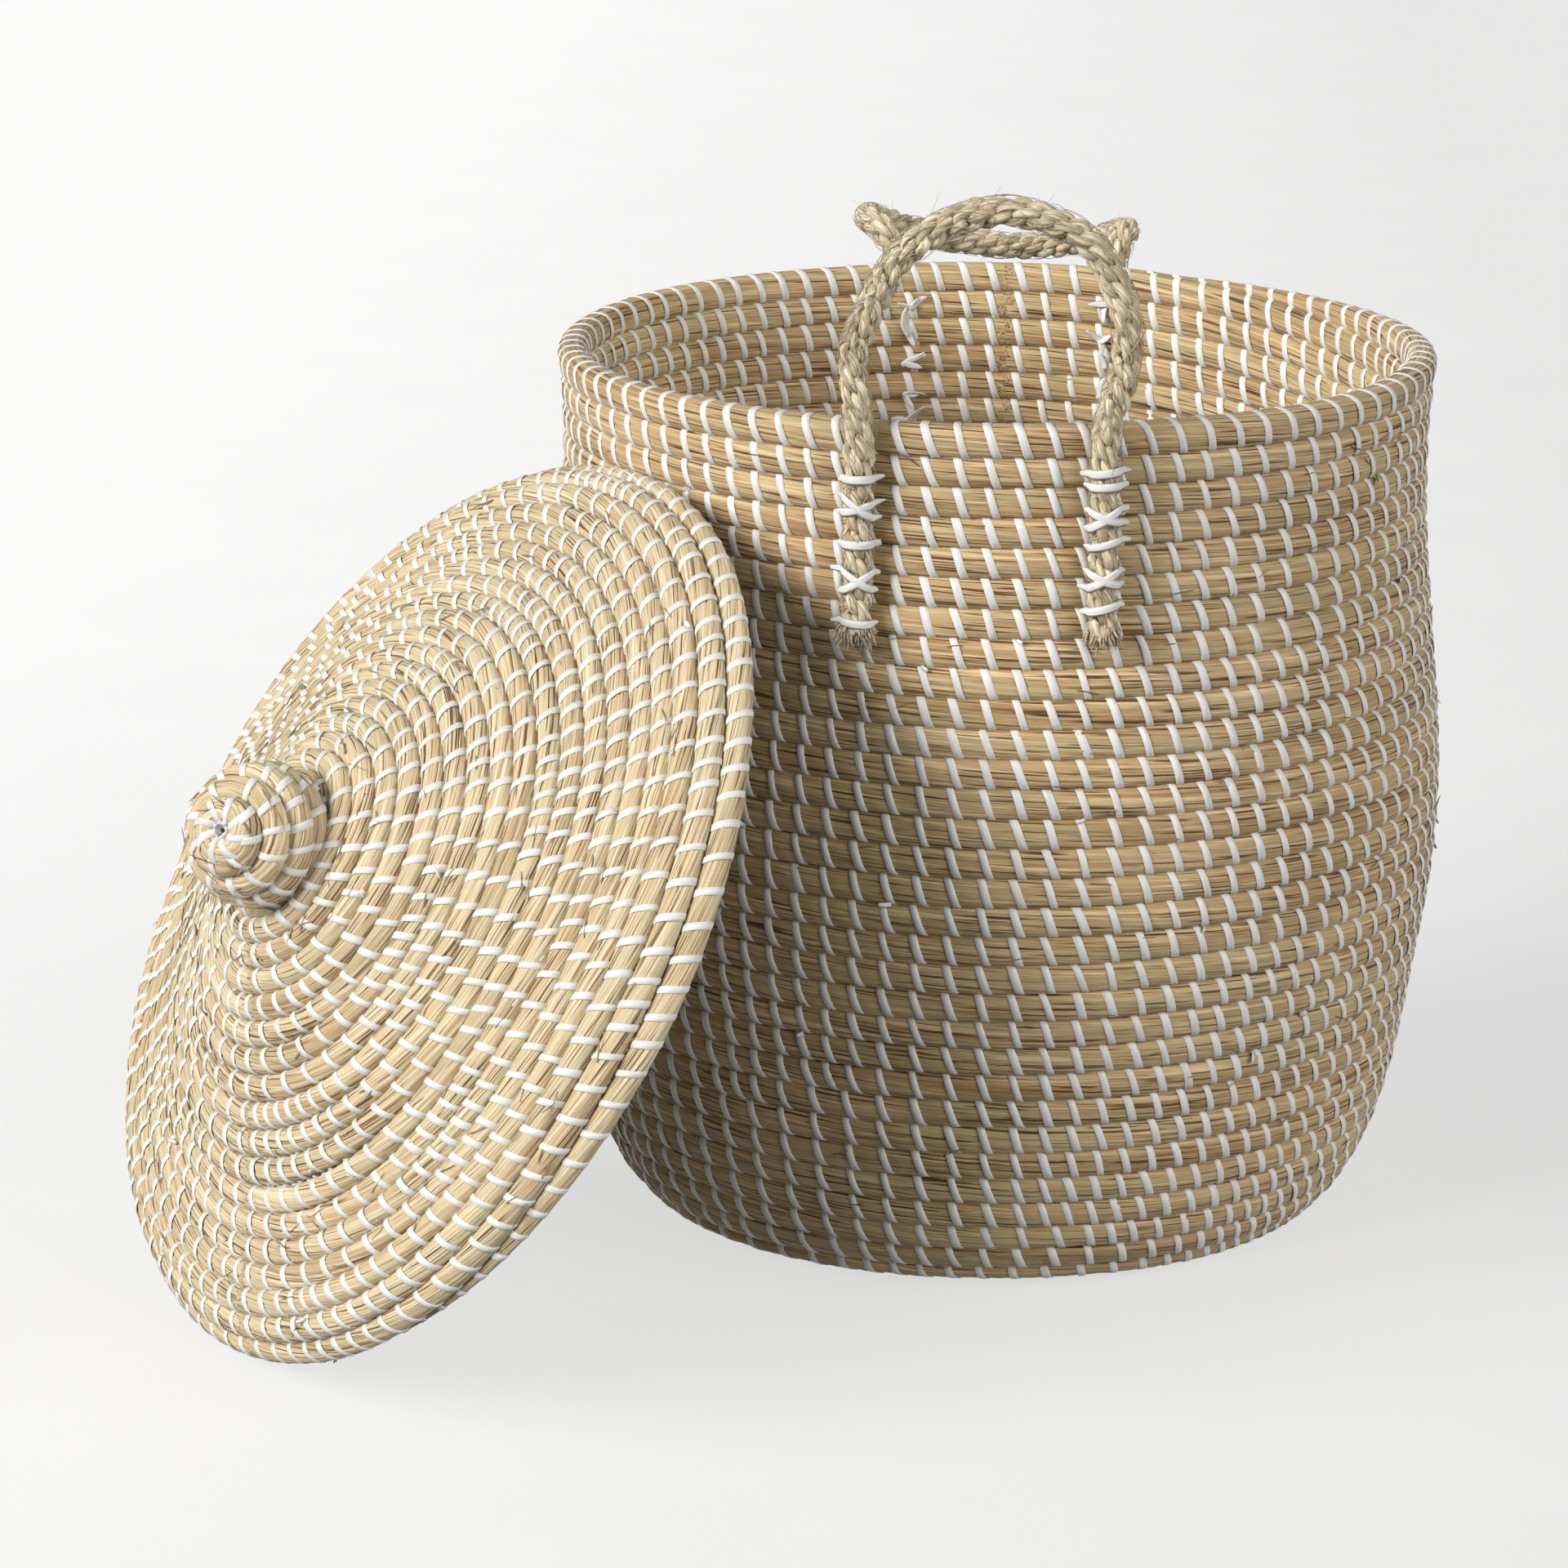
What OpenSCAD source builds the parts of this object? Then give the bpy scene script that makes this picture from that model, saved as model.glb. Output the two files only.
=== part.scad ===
// Coiled seagrass storage basket with two rope handles and a loose lid.
// The basket stands on the plane z = 0 with its own axis on the Z axis.
// The lid stands on its edge beside the basket and leans against the wall.

/* [Basket] */
// Distance from one coil row to the next, measured along the wall
coil_pitch = 14.8; // [14:0.1:15]
// Number of coil rows from the foot to the rim
wall_rows = 31; // [30:1:32]
// Outer radius of the lowest row, where it stands on the floor
foot_radius = 187; // [182:1:192]
// Outward lean of the wall just above the foot, in degrees from upright
foot_lean = 42; // [36:1:46]
// Outward lean of the wall between the foot and the belly, in degrees
lower_lean = 9.5; // [8.5:0.1:10.5]
// Inward lean of the wall between the belly and the neck, in degrees
upper_lean = 6; // [5:0.1:7]
// Outward flare of the wall at the rim, in degrees
rim_flare = 7; // [5:0.5:9]

/* [Lid] */
// Outer radius of the lid
lid_radius = 236.8; // [232:0.1:240]
// Distance from one lid row to the next, measured along the lid's surface
lid_pitch = 12.4; // [12.2:0.05:12.6]
// Slope of the turned-down edge, in degrees above the edge plane
edge_slope = 66; // [55:1:70]
// Slope of the conical field, in degrees above the edge plane
cone_slope = 24; // [22:0.5:26]
// Outer radius of the ball knob
knob_radius = 36.5; // [34:0.5:38]
// Angle by which the knob droops from the lid's axis, in degrees
knob_droop = 30; // [20:1:32]

/* [Lid stance] */
// Tilt of the lid's axis away from upright, in degrees
lid_tilt = 59.25; // [57.5:0.05:60.5]
// Direction in which the outside of the lid faces, in degrees from +X
lid_facing = 213.5; // [210:0.25:218]
// Direction of the lid's centre as seen from the basket's axis, in degrees from +X
lid_bearing = 219.75; // [216:0.25:222]
// Distance of the lid's centre from the basket's axis
lid_reach = 349.5; // [349.4:0.1:356]

/* [Handles] */
// Diameter of the twisted rope
rope_d = 14.5; // [13:0.5:15]
// Distance between the two legs of one handle
leg_span = 118; // [112:1:124]
// Height above the rim at which a handle bends
bend_rise = 9; // [9:0.5:12]
// Length of rope lashed to the wall below the rim
leg_drop = 100; // [96:1:104]
// Width of the lashing strip
strip_w = 4.6; // [4:0.1:5]
// Thickness of the lashing strip
strip_t = 0.9; // [0.7:0.1:1.1]

/* [Hidden] */
$fn = 96;

seagrass = "burlywood";
seagrass_light = "wheat";
jute = "tan";
plastic = "white";

// One coil bundle is a little thicker than the pitch, so that neighbouring rows bed together.
coil_r = coil_pitch / 2 + 0.2;
// Thickness of the packed wall between two bundles
web_t = 8;
// Row numbers at which the wall is divided, counted from the foot
foot_top = 3;
lower_top = 11;
belly_top = 20;
upper_top = wall_rows - 3;
rim_row = wall_rows - 1;

// Lean of the wall above each row: the rounded foot, the belly, the neck and the flared rim.
wall_lean = [
    [0, foot_lean],
    [1, foot_lean * 2 / 3],
    [3, foot_lean * 3 / 8],
    [6, lower_lean],
    [10, lower_lean],
    [14, 1.5],
    [18, -upper_lean],
    [22, -upper_lean],
    [26, -1],
    [rim_row, rim_flare]
];

// Centre of the bundle in one row, as [radius, height].
function wall_point(row) = row == 0
    ? [foot_radius - coil_r, coil_r]
    : wall_point(row - 1) + coil_pitch * [sin(lookup(row - 1, wall_lean)), cos(lookup(row - 1, wall_lean))];
wall = [for (row = [0 : rim_row]) wall_point(row)];
rim_top = wall[rim_row][1] + coil_r;
rim_outer = wall[rim_row][0] + coil_r;

// Outer radius of the wall at a height, over the crests of the rows
crest_table = [for (row = [0 : rim_row]) [wall[row][1], wall[row][0] + coil_r]];
function wall_crest(z) = lookup(z, crest_table);

// The base is a flat spiral of the same bundle, pressed flat underneath.
base_press = 0.3;
base_rows = floor((foot_radius - 2 * coil_r) / coil_pitch);
base_points = [
    for (turn = [1 : base_rows]) [foot_radius - coil_r - turn * coil_pitch, coil_r + base_press]
];

// Lid rows are counted from the edge to the knob.
lid_coil_r = lid_pitch / 2 + 0.2;
lid_web_t = 6;
lid_rows = 18;
skirt_last = 3;
outer_last = 9;
inner_last = 14;
crown_last = lid_rows - 1;
lid_slope = [[0, edge_slope], [2.5, edge_slope / 5.5], [6, cone_slope - 1.5], [crown_last, cone_slope + 1]];
function lid_point(row) = row == 0
    ? [lid_radius - lid_coil_r, 0]
    : lid_point(row - 1)
        + lid_pitch * [-cos(lookup(row - 0.5, lid_slope)), sin(lookup(row - 0.5, lid_slope))];
lid = [for (row = [0 : crown_last]) lid_point(row)];

// The lid's centre stands high enough for its lowest coil to touch the floor.
lid_height = (lid_radius - lid_coil_r) * sin(lid_tilt) + lid_coil_r;

// The ball is coiled round its own axis, which starts at the neck.
knob_coil_r = 6.9;
neck_radius = 27;
neck_height = lid[crown_last][1] + 2.5;
ball_arm = 27;
ball_base = lid[crown_last][1] - 1;
ball_first = 16;
ball_step = 25.5;
ball_last = 144;
ball_centre_r = knob_radius - knob_coil_r;
droop_bearing = 73;

// Handle routes
rope_r = rope_d / 2;
wall_gap = 0.4;
bend_height = rim_top + bend_rise;
leg_reach = sqrt(pow(rim_outer + wall_gap + rope_r, 2) - pow(leg_span / 2, 2));
leg_top = bend_height - 1.3 * rope_r;
rope_sides = 12;
frayed_scale = 1.25;

// Centre line of the upright front loop, as [across, outward, up] from the bend line's middle
front_route = [
    [-leg_span / 2, 0, 0], [-62, 0, 20], [-57, 1, 42], [-40, 2, 73], [-12, 3, 92],
    [20, 3, 95], [50, 2, 80], [66, 1, 50], [67, 0, 25], [leg_span / 2, 0, 0]
];
// Centre line of the back loop, which has flopped outward behind the rim
back_route = [
    [-leg_span / 2, 0, 0], [-64, 6, 6], [-66, 16, 7], [-63, 34, 4], [-54, 56, -3], [-32, 72, -10],
    [0, 78, -13], [34, 74, -9], [60, 58, 0], [76, 38, 9], [79, 18, 12], [71, 5, 8], [leg_span / 2, 0, 0]
];
route_steps = 4;

// Lashings below the rim: [drop, slant in degrees]; two slants at one drop make a cross.
lashings = [[24, 0], [40, 24], [40, -24], [56, 0], [74, 24], [74, -24], [92, 0]];
lash_gap = 0.25;
// Half of the angle through which a lashing wraps the front of the rope
lash_half_angle = 128;
// Strip ends tied inside the wall: [drop, turn in degrees]
knots = [[22, 15], [40, -35], [54, 30], [72, -15]];
knot_size = [3.2, 1.4, 15];

// ---- shared shapes ----

// Band of the outline between two bundle centres, with square ends
module outline_web(a, b, thickness) {
    run = b - a;
    side = thickness / 2 * [-run[1], run[0]] / norm(run);
    polygon([a + side, a - side, b - side, b + side]);
}

// Solid ring of stacked bundles through the given centres
module coil_band(centres, first, last, radius, thickness) {
    rotate_extrude() {
        for (row = [first : last])
            translate(centres[row]) circle(radius);
        for (row = [first : 1 : last - 1])
            outline_web(centres[row], centres[row + 1], thickness);
    }
}

// Point on a smooth curve through a list of points
function route_at(points, i, t) =
    let (
        last = len(points) - 1,
        p0 = points[max(i - 1, 0)],
        p1 = points[i],
        p2 = points[min(i + 1, last)],
        p3 = points[min(i + 2, last)]
    )
    p1 + t / 2 * ((p2 - p0) + t * ((2 * p0 - 5 * p1 + 4 * p2 - p3) + t * (3 * (p1 - p2) + p3 - p0)));

function smooth(points, steps) = concat(
    [for (i = [0 : len(points) - 2], k = [0 : steps - 1]) route_at(points, i, k / steps)],
    [points[len(points) - 1]]
);

// Direction of a route at one of its points
function heading(path, i) =
    let (d = path[min(i + 1, len(path) - 1)] - path[max(i - 1, 0)]) d / norm(d);

// Round tube along a path, with one radius for each point; side is a direction the path never takes.
module tube(path, radii, side) {
    n = rope_sides;
    rings = [
        for (i = [0 : len(path) - 1])
            let (
                along = heading(path, i),
                across = cross(along, side) / norm(cross(along, side)),
                other = cross(along, across)
            )
            for (k = [0 : n - 1])
                path[i] + radii[i] * (cos(360 * k / n) * across + sin(360 * k / n) * other)
    ];
    last = (len(path) - 1) * n;
    faces = concat(
        [[for (k = [0 : n - 1]) k]],
        [
            for (i = [0 : len(path) - 2], k = [0 : n - 1])
                [i * n + k, (i + 1) * n + k, (i + 1) * n + (k + 1) % n, i * n + (k + 1) % n]
        ],
        [[for (k = [0 : n - 1]) last + n - 1 - k]]
    );
    polyhedron(rings, faces, convexity = 6);
}

// ---- basket ----

module base_spiral() {
    color(seagrass) {
        rotate_extrude() {
            for (centre = base_points)
                translate(centre) circle(coil_r - base_press);
            square([base_points[0][0] + web_t / 2, coil_r + web_t / 2]);
        }
        translate([0, 0, coil_r + base_press]) sphere(coil_r - base_press);
    }
}

module foot_coils() {
    color(seagrass) coil_band(wall, 0, foot_top, coil_r, web_t);
}

module lower_wall() {
    color(seagrass) coil_band(wall, foot_top + 1, lower_top, coil_r, web_t);
}

module belly_wall() {
    color(seagrass) coil_band(wall, lower_top + 1, belly_top, coil_r, web_t);
}

module upper_wall() {
    color(seagrass) coil_band(wall, belly_top + 1, upper_top, coil_r, web_t);
}

module rim_coils() {
    color(seagrass) coil_band(wall, upper_top + 1, rim_row, coil_r, web_t);
}

// ---- lid ----

// Puts a shape made about the lid's own axis where the lid stands
module leaning() {
    translate([lid_reach * cos(lid_bearing), lid_reach * sin(lid_bearing), lid_height])
        rotate([0, lid_tilt, lid_facing])
            children();
}

module lid_skirt() {
    color(seagrass_light) leaning() coil_band(lid, 0, skirt_last, lid_coil_r, lid_web_t);
}

module lid_outer_band() {
    color(seagrass_light) leaning() coil_band(lid, skirt_last + 1, outer_last, lid_coil_r, lid_web_t);
}

module lid_inner_band() {
    color(seagrass_light) leaning() coil_band(lid, outer_last + 1, inner_last, lid_coil_r, lid_web_t);
}

module lid_crown() {
    color(seagrass_light) leaning() coil_band(lid, inner_last + 1, crown_last, lid_coil_r, lid_web_t);
}

module knob_neck() {
    color(seagrass)
        leaning()
            translate([0, 0, neck_height])
                rotate_extrude() translate([neck_radius, 0]) circle(lid_coil_r);
}

// Hollow ball of coils, with a dimple at the top and open into the neck
module knob_ball() {
    points = [
        for (a = [ball_first : ball_step : ball_last])
            [ball_centre_r * sin(a), ball_arm + ball_centre_r * cos(a)]
    ];
    color(seagrass_light)
        leaning()
            translate([0, 0, ball_base])
                rotate([0, 0, droop_bearing - 90])
                    rotate([-knob_droop, 0, 0])
                        coil_band(points, 0, len(points) - 1, knob_coil_r, lid_web_t);
}

// ---- handles ----
// Handle shapes are made for the front; the back handle is the front one turned half round.

// Turns a front handle shape to its place round the basket
module at_side(turn) {
    rotate([0, 0, turn]) children();
}

// Reach of a leg's centre line at a height, resting against the wall
function leg_y(z) = -sqrt(pow(wall_crest(z) + wall_gap + rope_r, 2) - pow(leg_span / 2, 2));

module handle_leg(side, turn) {
    path = [
        for (k = [0 : 12])
            let (z = leg_top - k / 12 * leg_drop) [side * leg_span / 2, leg_y(z), z]
    ];
    // The rope's end is unlaid and spreads a little.
    radii = [for (k = [0 : 12]) k > 11 ? rope_r * frayed_scale : k > 10 ? rope_r * 1.12 : rope_r];
    lift = [for (k = [0 : 12]) [0, -(radii[k] - rope_r), 0]];
    color(jute) at_side(turn) tube(path + lift, radii, [1, 0, 0]);
}

module handle_loop(route, turn) {
    path = [for (p = smooth(route, route_steps)) [p[0], -leg_reach - p[1], bend_height + p[2]]];
    color(jute) at_side(turn) tube(path, [for (p = path) rope_r], [0, 1, 0.2]);
}

// Strips over the rope whose two ends go into the wall
module handle_lashing(side, turn) {
    color(plastic)
        at_side(turn)
            for (lash = lashings) {
                z = rim_top - lash[0];
                translate([side * leg_span / 2, leg_y(z), z])
                    rotate([0, lash[1], side * asin(leg_span / 2 / rim_outer)])
                        rotate([0, 0, -90 - lash_half_angle])
                            rotate_extrude(angle = 2 * lash_half_angle)
                                translate([rope_r + lash_gap, -strip_w / 2]) square([strip_t, strip_w]);
            }
}

// Strip ends lying on the inside of the wall behind a leg
module handle_knots(side, turn) {
    color(plastic)
        at_side(turn)
            for (knot = knots) {
                z = rim_top - knot[0];
                reach = wall_crest(z) - 2 * coil_r;
                rotate([0, 0, -90 + side * asin(leg_span / 2 / rim_outer)])
                    translate([reach, 0, z])
                        rotate([knot[1], 0, 0])
                            cube([knot_size[1], knot_size[0], knot_size[2]], center = true);
            }
}

module front_handle_loop() {
    handle_loop(front_route, 0);
}

module front_leg_left() {
    handle_leg(-1, 0);
}

module front_leg_right() {
    handle_leg(1, 0);
}

module front_lashing_left() {
    handle_lashing(-1, 0);
}

module front_lashing_right() {
    handle_lashing(1, 0);
}

module front_knots_left() {
    handle_knots(-1, 0);
}

module front_knots_right() {
    handle_knots(1, 0);
}

module back_handle_loop() {
    handle_loop(back_route, 180);
}

module back_leg_left() {
    handle_leg(1, 180);
}

module back_leg_right() {
    handle_leg(-1, 180);
}

module back_lashing_left() {
    handle_lashing(1, 180);
}

module back_lashing_right() {
    handle_lashing(-1, 180);
}

module back_knots_left() {
    handle_knots(1, 180);
}

module back_knots_right() {
    handle_knots(-1, 180);
}

base_spiral();
foot_coils();
lower_wall();
belly_wall();
upper_wall();
rim_coils();
lid_skirt();
lid_outer_band();
lid_inner_band();
lid_crown();
knob_neck();
knob_ball();
front_handle_loop();
front_leg_left();
front_leg_right();
front_lashing_left();
front_lashing_right();
front_knots_left();
front_knots_right();
back_handle_loop();
back_leg_left();
back_leg_right();
back_lashing_left();
back_lashing_right();
back_knots_left();
back_knots_right();
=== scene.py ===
"""Looks of a coiled seagrass basket with rope handles and a leaning lid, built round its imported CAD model."""

import math

import bpy
import numpy as np
from mathutils import Euler, Matrix, Vector


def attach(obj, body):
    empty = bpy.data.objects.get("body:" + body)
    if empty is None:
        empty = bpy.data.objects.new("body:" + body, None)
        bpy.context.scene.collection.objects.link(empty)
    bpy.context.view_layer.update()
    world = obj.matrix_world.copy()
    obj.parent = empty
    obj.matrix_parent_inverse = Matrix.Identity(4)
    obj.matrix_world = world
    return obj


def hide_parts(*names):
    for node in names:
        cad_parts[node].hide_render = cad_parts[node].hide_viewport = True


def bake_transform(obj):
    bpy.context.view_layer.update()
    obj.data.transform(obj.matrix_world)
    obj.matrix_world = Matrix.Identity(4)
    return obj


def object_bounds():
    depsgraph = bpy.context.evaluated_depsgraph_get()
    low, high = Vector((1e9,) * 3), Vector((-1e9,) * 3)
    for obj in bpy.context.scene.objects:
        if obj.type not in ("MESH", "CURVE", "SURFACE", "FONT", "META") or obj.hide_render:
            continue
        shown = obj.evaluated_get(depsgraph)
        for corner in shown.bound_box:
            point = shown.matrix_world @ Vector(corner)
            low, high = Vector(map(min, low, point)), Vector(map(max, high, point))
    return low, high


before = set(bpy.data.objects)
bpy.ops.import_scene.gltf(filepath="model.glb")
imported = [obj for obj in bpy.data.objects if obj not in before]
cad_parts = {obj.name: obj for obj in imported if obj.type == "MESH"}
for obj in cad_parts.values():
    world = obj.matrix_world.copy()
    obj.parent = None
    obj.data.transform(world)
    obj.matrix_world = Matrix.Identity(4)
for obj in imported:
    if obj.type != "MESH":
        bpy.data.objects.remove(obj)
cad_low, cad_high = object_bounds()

MM = 0.001
FULL = 2 * math.pi

# ---- driving dimensions, repeated from the CAD source, in millimetres and degrees ----

coil_pitch = 14.8
wall_rows = 31
foot_radius = 187
foot_lean = 42
lower_lean = 9.5
upper_lean = 6
rim_flare = 7
coil_r = coil_pitch / 2 + 0.2

lid_radius = 236.8
lid_pitch = 12.4
lid_rows = 18
edge_slope = 66
cone_slope = 24
lid_coil_r = lid_pitch / 2 + 0.2
lid_tilt = 59.25
lid_facing = 213.5
lid_bearing = 219.75
lid_reach = 349.5

knob_coil_r = 6.9
knob_centre_r = 29.6
knob_arm = 27
knob_droop = 30
knob_bearing = 73
neck_radius = 27

rope_r = 7.25
leg_span = 118
leg_drop = 100
bend_rise = 9
wall_gap = 0.4

# ---- small helpers ----


def smoothstep(x):
    x = np.clip(x, 0, 1)
    return x * x * (3 - 2 * x)


def unit(v):
    return v / np.maximum(np.linalg.norm(v, axis=-1, keepdims=True), 1e-12)


def turn_about(axis, degrees):
    return np.array(Matrix.Rotation(math.radians(degrees), 3, axis))


def tube_faces(count, rings, sides):
    """Faces of count closed tubes, each of rings rings with sides points, with a cap at both ends."""
    start = np.arange(count)[:, None, None] * rings * sides
    ring = np.arange(rings - 1)[None, :, None] * sides
    side = np.arange(sides)[None, None, :]
    here = start + ring + side
    beside = start + ring + (side + 1) % sides
    walls = np.stack([here, beside, beside + sides, here + sides], -1).reshape(-1, 4)
    first = start[:, 0] + np.arange(sides)[None, ::-1]
    last = start[:, 0] + (rings - 1) * sides + np.arange(sides)[None, :]
    return [walls, np.concatenate([first, last])]


def signed_volume(points, quads):
    a, b, c, d = (points[quads[:, k]] for k in range(4))
    return np.einsum("ij,ij->i", a, np.cross(b, c) + np.cross(c, d)).sum()


def add_piece(name, parts, material, body):
    """One mesh from parts, each (points in millimetres, faces, lay).
    The lay of a point is how far along it is, how far round, and a chance value or a row's own value."""
    points, lays, groups, offset = [], [], [], 0
    for part_points, part_faces, part_lay in parts:
        flat = part_points.reshape(-1, 3)
        flip = signed_volume(flat, part_faces[0]) < 0
        for faces in part_faces:
            groups.append((faces[:, ::-1] if flip else faces) + offset)
        points.append(flat * MM)
        lays.append(part_lay.reshape(-1, 3))
        offset += len(flat)
    points, lays = np.concatenate(points), np.concatenate(lays)
    sizes = np.concatenate([np.full(len(g), g.shape[1]) for g in groups])
    mesh = bpy.data.meshes.new(name)
    mesh.vertices.add(len(points))
    mesh.vertices.foreach_set("co", points.astype(np.float32).ravel())
    corners = np.concatenate([g.ravel() for g in groups])
    mesh.loops.add(len(corners))
    mesh.loops.foreach_set("vertex_index", corners.astype(np.int32))
    mesh.polygons.add(len(sizes))
    mesh.polygons.foreach_set("loop_start", np.concatenate([[0], np.cumsum(sizes)[:-1]]).astype(np.int32))
    mesh.update(calc_edges=True)
    mesh.shade_smooth()
    attribute = mesh.attributes.new("lay", "FLOAT_VECTOR", "POINT")
    attribute.data.foreach_set("vector", lays.astype(np.float32).ravel())
    mesh.materials.append(material)
    piece = bpy.data.objects.new(name, mesh)
    bpy.context.scene.collection.objects.link(piece)
    if body:
        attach(piece, body)
    return piece


def thin_tube(path, radii, sides, mark):
    """A round tube along a path, as one part."""
    heading = unit(np.gradient(path, axis=0))
    side = np.array([0.31, 0.52, 0.79])
    across = unit(np.cross(heading, side))
    other = np.cross(heading, across)
    angle = np.arange(sides) * FULL / sides
    ring = across[:, None] * np.cos(angle)[None, :, None] + other[:, None] * np.sin(angle)[None, :, None]
    points = path[:, None] + ring * np.asarray(radii)[:, None, None]
    length = np.concatenate([[0], np.cumsum(np.linalg.norm(np.diff(path, axis=0), axis=1))]) * MM
    lay = np.stack(
        [
            np.broadcast_to(length[:, None], points.shape[:2]),
            np.broadcast_to(angle / FULL, points.shape[:2]),
            np.full(points.shape[:2], mark),
        ],
        -1,
    )
    return points, tube_faces(1, len(path), sides), lay


def ribbon(path, face, widths, mark, thick=0.3):
    """A flat strip along a path, with its upper side towards face."""
    path = np.asarray(path, float)
    heading = unit(np.gradient(path, axis=0))
    face = unit(face - heading * np.sum(face * heading, axis=-1, keepdims=True))
    across = np.cross(heading, face)
    half = np.asarray(widths, float)[:, None] / 2
    corners = [
        path - across * half,
        path - across * half * 0.45 + face * thick,
        path + across * half * 0.45 + face * thick,
        path + across * half,
        path - face * 0.12,
    ]
    points = np.stack(corners, 1)
    length = np.concatenate([[0], np.cumsum(np.linalg.norm(np.diff(path, axis=0), axis=1))]) * MM
    lay = np.zeros(points.shape)
    lay[..., 0] = length[:, None]
    lay[..., 1] = np.array([0.0, 0.3, 0.7, 1.0, 0.5])
    lay[..., 2] = mark
    return points, tube_faces(1, len(path), len(corners)), lay


# ---- materials ----


def new_material(name, roughness, specular, sheen=0.0):
    """A material with its principled shader, and a node reading the lay attribute as one vector."""
    material = bpy.data.materials.new(name)
    material.use_nodes = True
    tree = material.node_tree
    shader = tree.nodes["Principled BSDF"]
    shader.inputs["Roughness"].default_value = roughness
    shader.inputs["Specular IOR Level"].default_value = specular
    shader.inputs["Sheen Weight"].default_value = sheen
    lay = tree.nodes.new("ShaderNodeAttribute")
    lay.attribute_name = "lay"
    return material, tree, shader, lay.outputs["Vector"]


def stretched(tree, lay, per_metre, per_round, per_chance, detail, rough):
    """Noise drawn out along the fibres: so many cells per metre of length and per turn round the bundle,
    and other noise for each chance value."""
    scale = tree.nodes.new("ShaderNodeVectorMath")
    scale.operation = "MULTIPLY"
    scale.inputs[1].default_value = (per_metre, per_round, per_chance)
    tree.links.new(lay, scale.inputs[0])
    noise = tree.nodes.new("ShaderNodeTexNoise")
    noise.inputs["Scale"].default_value = 1.0
    noise.inputs["Detail"].default_value = detail
    noise.inputs["Roughness"].default_value = rough
    tree.links.new(scale.outputs[0], noise.inputs["Vector"])
    return noise.outputs["Fac"]


def ramp(tree, value, stops):
    node = tree.nodes.new("ShaderNodeValToRGB")
    ends = node.color_ramp.elements
    while len(ends) < len(stops):
        ends.new(0.5)
    for element, (place, colour) in zip(ends, stops):
        element.position = place
        element.color = (*colour, 1)
    tree.links.new(value, node.inputs["Fac"])
    return node.outputs["Color"]


def mix(tree, kind, amount, a, b):
    node = tree.nodes.new("ShaderNodeMix")
    node.data_type = "RGBA"
    node.blend_type = kind
    for socket, value in ((node.inputs["Factor"], amount), (node.inputs["A"], a), (node.inputs["B"], b)):
        if isinstance(value, (int, float)):
            socket.default_value = value
        elif isinstance(value, tuple):
            socket.default_value = (*value, 1)
        else:
            tree.links.new(value, socket)
    return node.outputs["Result"]


def bump(tree, height, distance, strength, shader, below=None):
    node = tree.nodes.new("ShaderNodeBump")
    node.inputs["Distance"].default_value = distance
    node.inputs["Strength"].default_value = strength
    tree.links.new(height, node.inputs["Height"])
    if below is not None:
        tree.links.new(below, node.inputs["Normal"])
    tree.links.new(node.outputs["Normal"], shader.inputs["Normal"])
    return node.outputs["Normal"]


def seagrass_material(name, dark, mid, light, green, rust):
    """Dried seagrass: fine parallel blades with dark gaps, and blades of other tones among them."""
    material, tree, shader, lay = new_material(name, 0.62, 0.28, 0.12)
    blades = stretched(tree, lay, 14, 34, 31, 3.0, 0.6)
    broad = stretched(tree, lay, 7, 8, 17, 2.0, 0.5)
    tone = stretched(tree, lay, 3.2, 2.2, 47, 2.0, 0.5)
    flecks = stretched(tree, lay, 90, 42, 23, 2.0, 0.5)
    colour = ramp(tree, blades, [(0.33, dark), (0.42, mid), (0.52, mid), (0.64, light)])
    greens = ramp(tree, broad, [(0.50, (0, 0, 0)), (0.66, (0.6, 0.6, 0.6))])
    rusts = ramp(tree, broad, [(0.30, (0.55, 0.55, 0.55)), (0.42, (0, 0, 0))])
    colour = mix(tree, "MIX", greens, colour, green)
    colour = mix(tree, "MIX", rusts, colour, rust)
    shade = ramp(tree, tone, [(0.30, (0.78, 0.74, 0.68)), (0.5, (1, 1, 1)), (0.72, (1.0, 1.0, 1.0))])
    colour = mix(tree, "MULTIPLY", 1.0, colour, shade)
    spots = ramp(tree, flecks, [(0.70, (0, 0, 0)), (0.78, (0.7, 0.7, 0.7))])
    colour = mix(tree, "MIX", spots, colour, dark)
    gaps = stretched(tree, lay, 20, 46, 11, 1.0, 0.4)
    lines = ramp(tree, gaps, [(0.33, (0.22, 0.16, 0.10)), (0.41, (1, 1, 1))])
    colour = mix(tree, "MULTIPLY", 1.0, colour, lines)
    tree.links.new(colour, shader.inputs["Base Color"])
    first = bump(tree, gaps, 0.0007, 0.6, shader)
    bump(tree, blades, 0.0011, 0.75, shader, first)
    return material


def strip_material():
    """White plastic raffia: satin, with fine streaks along the strip."""
    material, tree, shader, lay = new_material("white_strip", 0.38, 0.4)
    streaks = stretched(tree, lay, 60, 9, 37, 2.0, 0.5)
    patches = stretched(tree, lay, 30, 1.5, 53, 1.0, 0.5)
    colour = ramp(tree, streaks, [(0.3, (0.64, 0.63, 0.60)), (0.6, (0.765, 0.76, 0.745))])
    dull = ramp(tree, patches, [(0.35, (0.93, 0.925, 0.90)), (0.55, (1, 1, 1))])
    colour = mix(tree, "MULTIPLY", 1.0, colour, dull)
    tree.links.new(colour, shader.inputs["Base Color"])
    bump(tree, streaks, 0.00025, 0.5, shader)
    return material


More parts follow.
